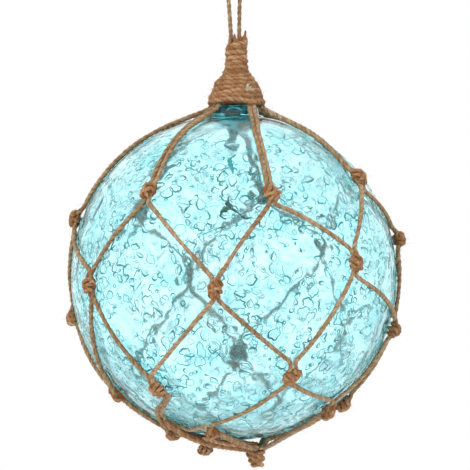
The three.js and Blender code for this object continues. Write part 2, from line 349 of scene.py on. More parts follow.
class Socket:
    """A socket of a node tree. Sums with it add their Math nodes, and add() adds any other node."""

    def __init__(self, tree, socket=None):
        self.tree = tree
        self.socket = socket

    def add(self, kind, settings=None, inputs=None, output=0):
        node = self.tree.nodes.new(kind)
        for name, value in (settings or {}).items():
            if name == "stops":
                ramp = node.color_ramp
                while len(ramp.elements) < len(value):
                    ramp.elements.new(0.5)
                for element, (position, colour) in zip(ramp.elements, value):
                    element.position = position
                    element.color = (*colour, 1)
            else:
                setattr(node, name, value)
        for name, value in (inputs or {}).items():
            if isinstance(value, Socket):
                self.tree.links.new(value.socket, node.inputs[name])
            else:
                node.inputs[name].default_value = value
        return Socket(self.tree, node.outputs[output])

    def maths(self, operation, *values, clamp=False):
        return self.add("ShaderNodeMath", {"operation": operation, "use_clamp": clamp}, dict(enumerate(values)))

    def __add__(self, other):
        return self.maths("ADD", self, other)

    def __sub__(self, other):
        return self.maths("SUBTRACT", self, other)

    def __rsub__(self, other):
        return self.maths("SUBTRACT", other, self)

    def __mul__(self, other):
        return self.maths("MULTIPLY", self, other)

    def __abs__(self):
        return self.maths("ABSOLUTE", self)

    __radd__ = __add__
    __rmul__ = __mul__

    def rise(self, low, high, to_low=0.0, to_high=1.0):
        """From to_low to to_high as this goes from low to high, eased at both ends."""
        names = {"Value": self, "From Min": low, "From Max": high, "To Min": to_low, "To Max": to_high}
        return self.add("ShaderNodeMapRange", {"interpolation_type": "SMOOTHSTEP"}, names)

    def vector(self, operation, *values):
        output = "Value" if operation in ("LENGTH", "DOT_PRODUCT", "DISTANCE") else "Vector"
        return self.add("ShaderNodeVectorMath", {"operation": operation}, dict(enumerate(values)), output)

    def scaled(self, x, y, z):
        return self.vector("MULTIPLY", self, (x, y, z))

    def noise(self, scale, detail=2.0, roughness=0.5, output="Fac"):
        names = {"Vector": self, "Scale": scale, "Detail": detail, "Roughness": roughness}
        return self.add("ShaderNodeTexNoise", None, names, output)

    def parts(self):
        node = self.add("ShaderNodeSeparateXYZ", None, {"Vector": self}).socket.node
        return [Socket(self.tree, output) for output in node.outputs]

    def mixed(self, first, second):
        """first where this is 0 and second where it is 1, both colours."""
        names = {0: self, 6: _colour(first), 7: _colour(second)}
        return self.add("ShaderNodeMix", {"data_type": "RGBA"}, names, 2)

    def tinted(self, colour, amount=1.0):
        """This colour times another, by amount."""
        names = {0: amount, 6: self, 7: _colour(colour)}
        return self.add("ShaderNodeMix", {"data_type": "RGBA", "blend_type": "MULTIPLY"}, names, 2)


def _colour(value):
    return value if isinstance(value, Socket) else (*value, 1)


def new_material(name):
    """A material with a Principled shader: its shader node, and a bare Socket to start from."""
    material = bpy.data.materials.new(name)
    material.use_nodes = True
    shader = next(n for n in material.node_tree.nodes if n.type == "BSDF_PRINCIPLED")
    return material, shader, Socket(material.node_tree)


def feed(tree, shader, **links):
    for name, value in links.items():
        tree.links.new(value.socket, shader.inputs[name.replace("_", " ")])


def jute(name, reddish, ochre, pale):
    """Two-ply jute: one ply redder than the other, fibres along the lay, and painted warm shade between the plies."""
    material, shader, start = new_material(name)
    shader.inputs["Roughness"].default_value = 0.88
    shader.inputs["Specular IOR Level"].default_value = 0.2
    shader.inputs["Sheen Weight"].default_value = 0.12
    shader.inputs["Sheen Roughness"].default_value = 0.5
    shader.inputs["Sheen Tint"].default_value = (1.0, 0.85, 0.68, 1)
    lay = start.add("ShaderNodeAttribute", {"attribute_name": "lay"}, None, "Vector")
    tone = start.add("ShaderNodeAttribute", {"attribute_name": "tone"}, None, "Fac")
    across, _, along = lay.parts()
    ply = across.rise(-0.4, 0.4)
    crest = abs(across).rise(0.05, 0.8)
    fibres = lay.scaled(8, 8, 0.9).noise(1.0, 3, 0.7)
    patches = lay.scaled(0.5, 0.5, 0.2).noise(1.0, 2, 0.55)
    flecks = lay.scaled(4.5, 4.5, 1.5).noise(1.0, 2, 0.6)
    lean = (ply * 0.55 + patches * 1.4 + fibres * 0.8 - 0.9).rise(0.1, 0.9)
    colour = lean.mixed(reddish, ochre)
    colour = (flecks + tone * 0.22).rise(0.62, 0.86).mixed(colour, pale)
    colour = tone.rise(1.15, 1.4).mixed(colour, (0.66, 0.52, 0.35))
    # Painted shade: darker in the groove between the plies, where crest is low, mottled by the fibres. The tone below
    # darkens it further.
    shadow = (crest * 0.5 + fibres * 0.9 - 0.02).rise(0.05, 0.72, 0.30, 1.06)
    depth = shadow * tone.rise(-0.2, 0.9, 0.42, 1.12)
    # The painted shade is made warm: it takes green down more than red, and blue most.
    warm = {0: depth, 1: depth.maths("POWER", depth, 1.22), 2: depth.maths("POWER", depth, 1.5)}
    colour = colour.tinted(depth.add("ShaderNodeCombineXYZ", None, warm))
    bump = start.add("ShaderNodeBump", None, {"Strength": 0.9, "Distance": 0.0003, "Height": fibres + flecks * 0.5},
                     "Normal")
    feed(start.tree, shader, Base_Color=colour, Normal=bump)
    return material


# ---------------------------------------------------------------- the glass

def eased(values, low, high):
    part = ((values - low) / (high - low)).clip(0, 1)
    return part * part * (3 - 2 * part)


class Swells:
    """A soft random height over all directions, the sum of a few plane waves of about one length in mm."""

    def __init__(self, source, length, count=7):
        self.waves = []
        for _ in range(count):
            heading = unit(np.array([source.gauss(0, 1) for _ in range(3)]))
            self.waves.append((heading * 2 * math.pi * BALL_RADIUS / (length * source.uniform(0.75, 1.35)),
                               source.uniform(0, 2 * math.pi)))

    def __call__(self, rays):
        return sum(np.sin(rays @ wave + phase) for wave, phase in self.waves) / math.sqrt(len(self.waves) / 2)


class Chip:
    """One cell of the glass's crackle: an irregular closed outline on the ball."""

    def __init__(self, middle, size, source):
        self.middle = middle
        self.size = size
        spin = source.uniform(0, 2 * math.pi)
        first = unit(np.cross(middle, [0.2, 0.3, 0.93] if abs(middle[2]) < 0.9 else [1.0, 0, 0]))
        second = np.cross(middle, first)
        self.first = first * math.cos(spin) + second * math.sin(spin)
        self.second = np.cross(middle, self.first)
        self.corners = source.choice((3, 3, 4, 4, 5, 6))
        self.sharp = source.uniform(0.35, 0.9)
        self.squash = source.uniform(0.5, 1.0)
        self.waves = [(k, source.uniform(-1, 1) * 0.34 / k ** 0.6, source.uniform(0, 6.28)) for k in (2, 3, 5, 7)]
        self.lift = source.choice((1, 1, -1)) * source.uniform(0.06, 0.2) * min(1.0, size / 2.5)
        self.shade = source.uniform(-1, 1)
        self.heavy = source.uniform(0, 6.28)
        self.ink = source.random()

    def reach(self, angle):
        corner = math.pi / self.corners
        polygon = np.cos(corner) / np.cos((angle % (2 * corner)) - corner)
        wobble = sum(size * np.cos(k * angle + phase) for k, size, phase in self.waves)
        return self.size * polygon ** self.sharp * (1 + wobble)

    def outline(self, part=1.0):
        """Places along the outline, or along a smaller one inside it, and how heavy its line is at each."""
        count = max(8, int(2 * math.pi * self.size * part / SEAM_STEP))
        angle = 2 * math.pi * np.arange(count) / count
        reach = self.reach(angle) * part
        x, y = reach * np.cos(angle), reach * np.sin(angle) * self.squash
        points = self.middle * BALL_RADIUS + x[:, None] * self.first + y[:, None] * self.second
        weight = (0.5 + 0.5 * np.cos(angle - self.heavy)) ** 2
        return points / np.linalg.norm(points, axis=1, keepdims=True), weight

    def inside(self, points):
        """How far inside the outline each point is, from 0 to 1."""
        away = points - self.middle * BALL_RADIUS
        x, y = away @ self.first, away @ self.second / self.squash
        distance = np.hypot(x, y)
        edge = self.reach(np.arctan2(y, x))
        dome = 1 - (distance / (edge + 0.3)).clip(0, 1) ** 2
        return 0.5 * dome + 0.5 * (1 - eased(distance - edge, -0.9, 0.35))


def scattered_chips(source):
    """The chips all over the ball: thick in places, few in its clear ones, and none on the neck."""
    chips, grid = [], {}
    clear = [(direction(lon, lat), math.cos(math.radians(width))) for lon, lat, width in CLEAR_PLACES]
    crowd = Swells(source, 46)
    for _ in range(CHIP_TRIES):
        z = source.uniform(-1, 1)
        around = source.uniform(0, 2 * math.pi)
        flat = math.sqrt(1 - z * z)
        middle = np.array([flat * math.cos(around), flat * math.sin(around), z])
        keep, draw = source.random(), source.random()
        if z > 0.87:
            continue
        thick = float(crowd(middle))
        if keep < 0.55 * (1 - float(eased(np.array(thick), -0.9, 0.3))):
            continue
        if any(middle @ place > edge for place, edge in clear) and keep < 0.86:
            continue
        size = 0.75 + 2.9 * draw ** 1.5
        key = tuple(np.floor(middle * BALL_RADIUS / 6).astype(int))
        near = [chip for dx in (-1, 0, 1) for dy in (-1, 0, 1) for dz in (-1, 0, 1)
                for chip in grid.get((key[0] + dx, key[1] + dy, key[2] + dz), ())]
        if any(np.linalg.norm(chip.middle - middle) * BALL_RADIUS < (chip.size + size) * 0.66 for chip in near):
            continue
        chip = Chip(middle, size, source)
        chips.append(chip)
        grid.setdefault(key, []).append(chip)
    return chips


def ridge(bundle, rays, widths, height, tones, closed):
    """A raised seam of glass along rays from the ball's centre: a low three-sided ridge, a little sunk in the wall."""
    count = len(rays)
    heading = np.roll(rays, -1, axis=0) - np.roll(rays, 1, axis=0) if closed else np.gradient(rays, axis=0)
    side = np.cross(rays, heading)
    side /= np.linalg.norm(side, axis=1, keepdims=True) + 1e-12
    low = rays * (BALL_RADIUS - SEAM_DEPTH)
    crest = rays * (BALL_RADIUS + height)
    corners = np.stack([low - side * widths[:, None], crest, low + side * widths[:, None]], axis=1)
    corners = corners.reshape(-1, 3)
    faces = []
    for i in range(count if closed else count - 1):
        after = (i + 1) % count
        for k in range(3):
            other = (k + 1) % 3
            faces.append((i * 3 + k, i * 3 + other, after * 3 + other, after * 3 + k))
    if not closed:
        faces.append((0, 2, 1))
        faces.append(((count - 1) * 3, (count - 1) * 3 + 1, (count - 1) * 3 + 2))
    bundle.add(corners, faces, corners, np.repeat(tones, 3))


def squiggle(middle, length, source):
    """An open, wandering stroke on the ball."""
    first = unit(np.cross(middle, [source.uniform(-1, 1), source.uniform(-1, 1), 0.5]))
    second = np.cross(middle, first)
    heading, bend, x, y = source.uniform(0, 6.28), 0.0, 0.0, 0.0
    points = []
    for _ in range(max(6, int(length / SEAM_STEP))):
        points.append(middle * BALL_RADIUS + x * first + y * second)
        bend = bend * 0.6 + source.uniform(-0.75, 0.75)
        heading += bend * 0.8
        x += SEAM_STEP * math.cos(heading)
        y += SEAM_STEP * math.sin(heading)
    points = np.array(points)
    return points / np.linalg.norm(points, axis=1, keepdims=True)


def glass_seams(chips, material, source):
    """The raised lines round the chips, loose strokes between them, and the dark drips under the neck."""
    upper, lower = Bundle(), Bundle()

    def half(z):
        return upper if z > 0 else lower

    for chip in chips:
        rays, weight = chip.outline()
        strong = source.uniform(0.15, 1.0) ** 1.3
        thin = source.uniform(0.08, 0.17)
        ridge(half(chip.middle[2]), rays, thin + 0.32 * weight * strong, 0.09,
              (0.95 - 0.8 * weight * strong - 0.35 * chip.ink).clip(0, 1), True)
        if source.random() < 0.12 and chip.size > 1.3:
            rays, weight = chip.outline(source.uniform(0.6, 0.78))
            ridge(half(chip.middle[2]), rays, 0.07 + 0.14 * weight, 0.07, 0.95 - 0.4 * weight, True)
    crowd = Swells(source, 40)
    for _ in range(SQUIGGLES):
        z = source.uniform(-1, 0.88)
        around = source.uniform(0, 2 * math.pi)
        flat = math.sqrt(1 - z * z)
        middle = np.array([flat * math.cos(around), flat * math.sin(around), z])
        rays = squiggle(middle, source.uniform(2.0, 8.0), source)
        taper = np.sin(np.linspace(0.12, math.pi - 0.12, len(rays)))
        strong = source.uniform(0.15, 1.0) ** 1.5
        if float(crowd(middle)) < -0.6:
            strong *= 0.3
        ridge(half(z), rays, 0.05 + 0.28 * taper * strong, 0.08, 1.0 - 0.8 * taper * strong, False)
    for width, ink, places in DRIPS:
        path = relaxed(resampled([on_front(x, z) for x, z in places], 0.4), 3)
        rays = path / np.linalg.norm(path, axis=1, keepdims=True)
        rays = rays + np.stack([wander(len(rays), 3, 0.0025, source) for _ in range(3)], axis=1)
        taper = np.sin(np.linspace(0.15, math.pi - 0.15, len(rays))) * (0.8 + wander(len(rays), 4, 0.5, source))
        ridge(upper, rays / np.linalg.norm(rays, axis=1, keepdims=True), (width * taper).clip(0.08, 9), 0.15,
              np.full(len(rays), ink), False)
    ring = np.stack([direction(angle, 81.0) for angle in np.linspace(0, 360, 90, endpoint=False)])
    ridge(upper, ring, np.full(len(ring), 0.32), 0.12, np.full(len(ring), -0.8), True)
    for bundle, name in ((upper, "upper"), (lower, "lower")):
        bundle.piece(f"glass_seams_{name}", material, "aqua_glass")


def seam_material():
    """The glass where it is thick along the seams: deep teal, paler where a seam is thin. The seams are opaque, and
    their darkness is partly the deep teal of thick glass and partly painted shade for the dark that refraction gives
    their steep edges.
    """
    material, shader, start = new_material("seam_glass")
    shader.inputs["Roughness"].default_value = 0.28
    shader.inputs["IOR"].default_value = 1.46
    tone = start.add("ShaderNodeAttribute", {"attribute_name": "tone"}, None, "Fac")
    colour = tone.rise(-1.0, 0.1).mixed((0.016, 0.095, 0.075), (0.010, 0.32, 0.33))
    colour = tone.rise(0.2, 1.0).mixed(colour, (0.22, 0.66, 0.69))
    feed(start.tree, shader, Base_Color=colour)
    return material


def glass_material():
    """Aqua glass that darkens with its thickness, mottled paler and deeper by its chips and slow clouds."""
    material, shader, start = new_material("aqua_glass")
    shader.inputs["Transmission Weight"].default_value = 0.985
    shader.inputs["Roughness"].default_value = 0.07
    shader.inputs["IOR"].default_value = 1.46
    at = start.add("ShaderNodeTexCoord", None, None, "Object")
    place = at.vector("SUBTRACT", at, tuple(CENTRE * MM))
    height = place.parts()[2]
    place = place.scaled(1000, 1000, 1000)
    shade = start.add("ShaderNodeAttribute", {"attribute_name": "shade"}, None, "Fac")
    cloud = place.noise(0.22, 3, 0.6)
    depth = shade * 0.38 + cloud * 1.3 - 0.15
    colour = depth.rise(0.55, 0.95).mixed(GLASS_TINT, GLASS_PALE)
    colour = depth.rise(0.55, 0.15).mixed(colour, GLASS_DEEP)
    colour = place.noise(0.07, 2, 0.5).rise(0.56, 0.68, 0, 0.5).mixed(colour, GLASS_BLUE)
    streaks = place.scaled(0.5, 0.5, 1.6).noise(1.0, 3, 0.6)
    # Above the neck's foot the glass turns deep teal: partly the deeper colour of the thick neck glass, partly painted
    # shade under the collar.
    neck = streaks.rise(0.42, 0.6).mixed(NECK_THICK_AND_SHADED, NECK_PALE)
    colour = height.rise(0.0738, 0.0762).mixed(colour, neck)
    feed(start.tree, shader, Base_Color=colour)
    volume = start.add("ShaderNodeVolumeAbsorption", None,
                       {"Color": (*ABSORPTION, 1), "Density": ABSORPTION_DENSITY})
    output = next(n for n in material.node_tree.nodes if n.type == "OUTPUT_MATERIAL")
    material.node_tree.links.new(volume.socket, output.inputs["Volume"])
    return material


def stem_material():
    """The sealing stem: streaked deep teal, greyer at its root."""
    material, shader, start = new_material("neck_stem_glass")
    shader.inputs["Roughness"].default_value = 0.35
    shader.inputs["Specular IOR Level"].default_value = 0.2
    at = start.add("ShaderNodeTexCoord", None, None, "Object")
    place = at.vector("SUBTRACT", at, tuple(CENTRE * MM))
    height = place.parts()[2]
    streaks = place.scaled(900, 900, 120).noise(1.0, 3, 0.6)
    colour = streaks.rise(0.35, 0.65).mixed((0.006, 0.20, 0.22), (0.04, 0.40, 0.42))
    colour = height.rise(0.0660, 0.0695).mixed(colour, (0.13, 0.20, 0.17))
    feed(start.tree, shader, Base_Color=colour)
    return material


def ball_shell(count, radius_at):
    """A closed skin of six square grids swelled into a ball, its radius from the angle off the top."""
    line = np.tan(np.linspace(-math.pi / 4, math.pi / 4, count + 1))
    index = {}
    corners, faces = [], []

    def corner(point):
        key = tuple(np.round(point, 6))
        if key not in index:
            index[key] = len(corners)
            corners.append(point)
        return index[key]

    for axis in range(3):
        for side in (-1, 1):
            grid = np.empty((count + 1, count + 1), int)
            for i, a in enumerate(line):
                for j, b in enumerate(line):
                    point = [0.0, 0.0, 0.0]
                    point[axis], point[(axis + 1) % 3], point[(axis + 2) % 3] = side, a, b
                    grid[i, j] = corner(point)
            for i in range(count):
                for j in range(count):
                    face = (grid[i, j], grid[i + 1, j], grid[i + 1, j + 1], grid[i, j + 1])
                    faces.append(face if side > 0 else face[::-1])
    corners = np.array(corners)
    corners /= np.linalg.norm(corners, axis=1, keepdims=True)
    polar = np.degrees(np.arccos(corners[:, 2].clip(-1, 1)))
    return corners * radius_at(polar)[:, None], faces


def chipped(corners, chips):
    """How high the wall stands at each corner inside its chips, and how deep its colour is there."""
    tree = KDTree(len(corners))
    for i, corner in enumerate(corners):
        tree.insert(corner, i)
    tree.balance()
    lift, shade = np.zeros(len(corners)), np.zeros(len(corners))
    for chip in chips:
        found = [i for _, i, _ in tree.find_range(chip.middle * BALL_RADIUS, chip.size * 1.7 + 0.5)]
        if found:
            inside = chip.inside(corners[found])
            lift[found] += chip.lift * inside
            shade[found] += chip.shade * inside
    return lift, shade


def glass_ball(material, chips, source):
    """The hollow ball with its low neck: an outer skin with the chips in it, and a smoother inner one."""
    def outside(polar):
        neck = np.minimum(NECK_TOP / np.cos(np.radians(polar.clip(0, 30))), NECK_TOP + 0.75)
        return BALL_RADIUS + (neck - BALL_RADIUS) * (1 - eased(polar, 7.6, 9.2))

    def inside(polar):
        return BALL_RADIUS - WALL - 3.5 * (1 - eased(polar, 5, 13))

    outer, outer_faces = ball_shell(OUTER_GRID, outside)
    inner, inner_faces = ball_shell(INNER_GRID, inside)
    lift, shade = chipped(outer, chips)
    rolling, patches = Swells(source, 13), Swells(source, 22)
    rays = outer / np.linalg.norm(outer, axis=1, keepdims=True)
    polar = np.degrees(np.arccos(rays[:, 2].clip(-1, 1)))
    calm, gentle = eased(polar, 9, 40), eased(polar, 30, 55)
    lift = (lift * (0.25 + 0.75 * gentle) + OUTER_SWELL * rolling(rays)) * calm
    shade = shade + 0.35 * patches(rays)
    inner_rays = inner / np.linalg.norm(inner, axis=1, keepdims=True)
    inner = inner + inner_rays * (INNER_SWELL * Swells(source, 11)(inner_rays))[:, None]
    corners = np.concatenate([outer + rays * lift[:, None], inner])
    faces = outer_faces + [tuple(len(outer) + i for i in face[::-1]) for face in inner_faces]
    mesh = bpy.data.meshes.new("glass_wall")
    mesh.from_pydata(((corners + CENTRE) * MM).tolist(), [], faces)
    mesh.polygons.foreach_set("use_smooth", [True] * len(mesh.polygons))
    depth = mesh.attributes.new("shade", "FLOAT", "POINT")
    depth.data.foreach_set("value", np.concatenate([shade, np.zeros(len(inner))]).astype(np.float32))
    mesh.materials.append(material)
    mesh.update()
    wall = bpy.data.objects.new("glass_wall", mesh)
    bpy.context.scene.collection.objects.link(wall)
    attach(wall, "root")
    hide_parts("glass_ball")


def neck_stem(material):
    """The rod of glass that hangs inside under the neck, where the ball was sealed."""
    rod = Bundle()
    path = resampled([(-0.5, 0, 72.5), (-0.5, 0, 66), (-0.9, 0, 62), (-1.0, 0, 59.6)], 0.6)
    count = len(path)
    _, normals, sides_way = frames(path)
    part = np.linspace(0, 1, count)
    widths = 2.65 - 0.75 * part
    widths[-3:] *= np.array([0.92, 0.75, 0.45])
    angles = 2 * math.pi * np.arange(STEM_SIDES) / STEM_SIDES
    ring = normals[:, None, :] * np.cos(angles)[None, :, None] + sides_way[:, None, :] * np.sin(angles)[None, :, None]
    corners = (path[:, None, :] + ring * widths[:, None, None]).reshape(-1, 3)
    faces = []
    for i in range(count - 1):
        for k in range(STEM_SIDES):
            low, after = i * STEM_SIDES, (k + 1) % STEM_SIDES
            faces.append((low + k, low + after, low + STEM_SIDES + after, low + STEM_SIDES + k))
    faces.append(tuple(range(STEM_SIDES))[::-1])
    faces.append(tuple((count - 1) * STEM_SIDES + k for k in range(STEM_SIDES)))
    rod.add(corners, faces, corners, np.full(len(corners), 0.5))
    rod.piece("neck_stem", material, "aqua_glass")


# ---------------------------------------------------------------- the twine

def taut(start, end, radius=LAY_RADIUS):
    """A twine pulled tight between two places: straight off the ball, and round it where it lies on it."""
    spread = math.acos(float(np.dot(unit(start), unit(end))))
    side = unit(np.cross(start, end))
    leave = math.acos(min(1.0, radius / np.linalg.norm(start)))
    land = math.acos(min(1.0, radius / np.linalg.norm(end)))
    if leave + land >= spread:
        return [start, end]
    ray = unit(start)
    count = max(2, int((spread - leave - land) * radius / RING_STEP))
    middle = [turned(ray, side, leave + (spread - leave - land) * i / count) * radius for i in range(count + 1)]
    return [start, *middle, end]


def knot_frame(row, column):
    """A knot's place: out of the ball, across the pair of twines that it ties, and along them."""
    above = unit(np.array([COLLAR_X, 0, NECK_TOP + GAP]))
    part = row / (len(KNOT_ROWS) - 1)
    pole = above * (1 - part) - unit(BOTTOM_KNOT) * part
    out = direction(*KNOT_ROWS[row][column])
    across = turned(unit(np.cross(pole, out)), out, math.radians(KNOT_TURNS.get((row, column), 0)))
    return out, across, np.cross(out, across)


def knot_habit(row, column):
    """How a knot sits: its tilt in degrees, how much longer than wide it is, its size, and how far it hangs off."""
    if (row, column) in KNOT_HABITS:
        return KNOT_HABITS[row, column]
    source = random.Random(31 * row + column)
    return source.uniform(-28, 28), source.uniform(1.05, 1.3), source.uniform(0.92, 1.06), 0.0


def on_ring(centre, radius, longitude):
    return direction(longitude, 0) * radius + centre


def on_front(x, z, lift=0.0):
    """The place on the net's front at this x and z, lifted off the ball."""
    radius = LAY_RADIUS + lift
    return np.array([x, -math.sqrt(max(0.0, radius * radius - x * x - z * z)), z])


def net_route(cord, hand):
    """One twine's course: out of the collar, past its four knots by turns, round the ball and into the bottom knot."""
    neighbour = (cord + (0 if hand > 0 else CORDS - 1)) % CORDS
    knots = [(cord, hand), (neighbour, -hand), (cord, hand), (neighbour, -hand)]
    rim = on_ring(np.array([COLLAR_X, 0, RIM_HEIGHT]), RIM_RADIUS, RIM_LONGITUDES[cord])
    rim_across = unit(np.cross(rim, knot_frame(0, cord)[0]))
    rim = rim + rim_across * hand * (PAIR_OFFSET + 0.05)
    inside = on_ring(np.array([COLLAR_X, 0, 87.0]), 7.4, RIM_LONGITUDES[cord] + hand * 5)
    points = [inside, rim]
    for row, (column, side) in enumerate(knots):
        out, across, along = knot_frame(row, column)
        tilt, tall, size, hang = knot_habit(row, column)
        reach = 4.3 * size * (tall if abs(tilt) < 30 else 0.95)
        for x, z in HELD.get((cord, row, hand), ()):
            place = on_front(x, z)
            beside = unit(np.cross(points[-1], place)) * hand * PAIR_OFFSET * (row == 0)
            points += taut(points[-1], unit(place + beside) * LAY_RADIUS)
        stops = [unit(out * LAY_RADIUS + along * reach * part + across * side * offset)
                 * (LAY_RADIUS + lift + hang * 0.4)
                 for part, offset, lift in ((1.12, PAIR_OFFSET, 0.1), (0.62, 1.35, 1.7), (0.1, 1.3, 1.1),
                                            (-0.6, 1.1, 1.0), (-1.1, PAIR_OFFSET, 0.2))]
        points += taut(points[-1], stops[0]) + stops[1:]
    for x, z in HELD.get((cord, len(knots), hand), ()):
        points += taut(points[-1], on_front(x, z))
    gather = on_ring(BOTTOM_KNOT, GATHER_RIM - 1.6, GATHER_LONGITUDE + 360 / CORDS * (neighbour - hand / 4))
    points += taut(points[-1], gather)
    points = relaxed(resampled(points, RING_STEP), 6)
    reach = np.linalg.norm(points, axis=1)
    outward = points / reach[:, None]
    heading = np.gradient(points, axis=0)
    heading /= np.linalg.norm(heading, axis=1, keepdims=True)
    across = np.cross(outward, heading)
    fade = np.minimum(1, np.minimum(np.arange(len(points)), np.arange(len(points))[::-1]) / 30)
    points = points + across * (wander(len(points), 30, 0.22, chance) * fade)[:, None]
    low = reach < 77.2
    points[low] *= np.maximum(1, (LAY_RADIUS - 0.1) / np.linalg.norm(points[low], axis=1))[:, None]
    return points


def hanging_loop(material):
    """The loop of twine out of the collar's top."""
    crown = [(CROWN_RADIUS * math.cos(math.pi * (1 - i / 24)),
              CROWN_HEIGHT + CROWN_RADIUS * math.sin(math.pi * i / 24)) for i in range(25)]
    outline = [*LEFT_LEG, *crown, *RIGHT_LEG[::-1]]
    route = relaxed(resampled([(x, 0, z) for x, z in outline], RING_STEP), 8)
    cord = Bundle()
    cord.twine(route, radius=TWINE_RADIUS, tone=0.5, groove=0.3, rough=0.05)
    piece = cord.piece("loop_twine", material)
    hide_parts("hanging_loop")
    return cord.routes


def net(material):
    """The fourteen twines, each in place of its solid."""
    routes = []
    for cord in range(CORDS):
        for hand, side in ((-1, "left"), (1, "right")):
            strand = Bundle()
            strand.twine(net_route(cord, hand), radius=1.1, tone=chance.uniform(0.35, 0.7), rough=0.06, swell=0.13)
            piece = strand.piece(f"net_twine_{side}_{cord + 1}", material)
            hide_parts(f"net_twine_{cord + 1}_{side}")
            routes += strand.routes
    return routes


def egg_winding(half_wide, half_deep, half_long, turns, slant, start, source, low=-0.78, high=0.78):
    """A twine wound round an egg whose long way is z, slanted, as rows of x, y and z."""
    count = int(turns * 26)
    part = np.linspace(0, 1, count)
    angle = 2 * math.pi * turns * part + start
    level = low + (high - low) * part + wander(count, 12, 0.06, source)
    barrel = np.maximum(0.05, 1 - level.clip(-0.99, 0.99) ** 2) ** 0.42
    tuck = np.minimum(1, np.minimum(part, 1 - part) * turns * 3.2 + 0.3)
    swell = barrel * tuck * (1 + wander(count, 9, 0.09, source))
    x = half_wide * swell * np.cos(angle)
    y = half_deep * swell * np.sin(angle)
    return np.stack([x, y, half_long * level + slant * x], axis=1)


def knot(bundle, row, column):
    """One knot: a hidden core, twine wound round it, and two turns that cross over the winding."""
    out, across, along = knot_frame(row, column)
    tilt, tall, size, hang = knot_habit(row, column)
    source = random.Random(900 + 31 * row + column)
    angle = math.radians(tilt)
    body = along * math.cos(angle) + across * math.sin(angle)
    beside = across * math.cos(angle) - along * math.sin(angle)
    wide, deep, long = 2.75 * size, 2.1 * size, 3.15 * size * tall
    centre = out * (BALL_RADIUS + 2.75 * size + hang)
    # The core has tone 0, the darkest: painted shade where it shows between the turns.
    bundle.lump(centre, (beside, out, body), (wide - 0.5, deep - 0.35, long + 0.3), 0.0)

    def laid(points, radius, tone, ends):
        path = relaxed(resampled(points, 0.45), 3)
        path = path[:, :1] * beside + path[:, 1:2] * out + path[:, 2:] * body + centre
        bundle.twine(path, radius=radius, tone=tone, groove=0.3, ends=ends, rough=0.08, swell=0.12, pitch=5.0,
                     source=source)

    slant = source.choice((-1, 1)) * math.tan(math.radians(source.uniform(12, 26)))
    turns = 2 * long * 0.78 / 2.0
    turns *= source.uniform(0.92, 1.05)
    laid(egg_winding(wide, deep, long * 1.12, turns, slant, source.uniform(0, 6.28), source),
         0.98, source.uniform(0.3, 0.5), (0.5, 0.5))
    for _ in range(2):
        lean = math.radians(source.uniform(35, 62)) * -math.copysign(1, slant)
        shift = source.uniform(-0.5, 0.35) * long
        arc = np.linspace(-1.25, 1.25, 18)
        swing = np.stack([wide * 1.12 * np.sin(arc) * math.cos(lean), deep * 1.28 * np.cos(arc) - 0.1,
                          wide * 1.15 * np.sin(arc) * math.sin(lean) + shift], axis=1)
        laid(swing, source.uniform(0.8, 0.98), source.uniform(0.3, 0.65), (0.35, 0.35))
        slant = -slant


def loose_end(bundle, row, column, sideways, length, rise, tone=0.6):
    """A short cut end of twine that stands out of a knot."""
    out, across, along = knot_frame(row, column)
    foot = out * (BALL_RADIUS + 3.2)
    way = unit(across * sideways + along * rise + out * 0.15)
    bend = along * 0.14 * length
    places = [foot + way * length * part + bend * math.sin(math.pi * part) for part in (0, 0.3, 0.6, 0.85, 1.0)]
    bundle.twine(relaxed(resampled(places, 0.5), 3), radius=0.62, tone=tone, groove=0.25, ends=(1, 0.25), rough=0.1,
                 fuzz=2.5)


def knots(material):
    """All the knots, one piece a row, with the loose ends that stand out of some."""
    routes = []
    for row, columns in enumerate(KNOT_ROWS):
        bundle = Bundle()
        for column in range(len(columns)):
            knot(bundle, row, column)
        for knot_row, column, sideways, length, rise in LOOSE_ENDS:
            if knot_row == row:
                loose_end(bundle, row, column, sideways, length, rise)
        bundle.piece(f"knots_row_{row + 1}", material)
        routes += bundle.routes
    return routes


def collar_radius(height):
    levels, radii = zip(*COLLAR_OUTLINE)
    return np.interp(height, levels, radii)


def lean_of_rim(angle):
    """1 over a cord that leaves the collar's rim and 0 between two of them."""
    degrees = math.degrees(angle)
    return min(1.0, sum(math.exp(-(((degrees - lon + 180) % 360 - 180) / 16) ** 2) for lon in RIM_LONGITUDES))


def collar_winding(first, last, pitch, inset, start, arch):
    """The course of the twine wound on the collar between two heights."""
    heights = np.linspace(first, last, 400)
    radii = collar_radius(heights) - inset
    along = np.concatenate([[0], np.cumsum(np.hypot(np.diff(heights), np.diff(radii)))])
    points, done, angle = [], 0.0, math.radians(start)
    turn = math.radians(4)
    while done < along[-1]:
        height = float(np.interp(done, along, heights))
        radius = float(np.interp(done, along, radii))
        bell = 1 - float(eased(np.array(height), 80, 93))
        over = lean_of_rim(angle)
        radius += bell * (0.7 * over - 0.3)
        heading = direction(math.degrees(angle), 0)
        drop = arch * bell * (0.45 - over) + 0.05 * radius * heading[0] * math.sin(height * 0.9 + 0.5)
        points.append([COLLAR_X + radius * heading[0], radius * heading[1], height + drop])
        angle += turn
        done += pitch(height) * turn / (2 * math.pi)
    path = relaxed(resampled(points, RING_STEP), 3)
    return path + np.stack([wander(len(path), 8, 0.17, chance) for _ in range(3)], axis=1)


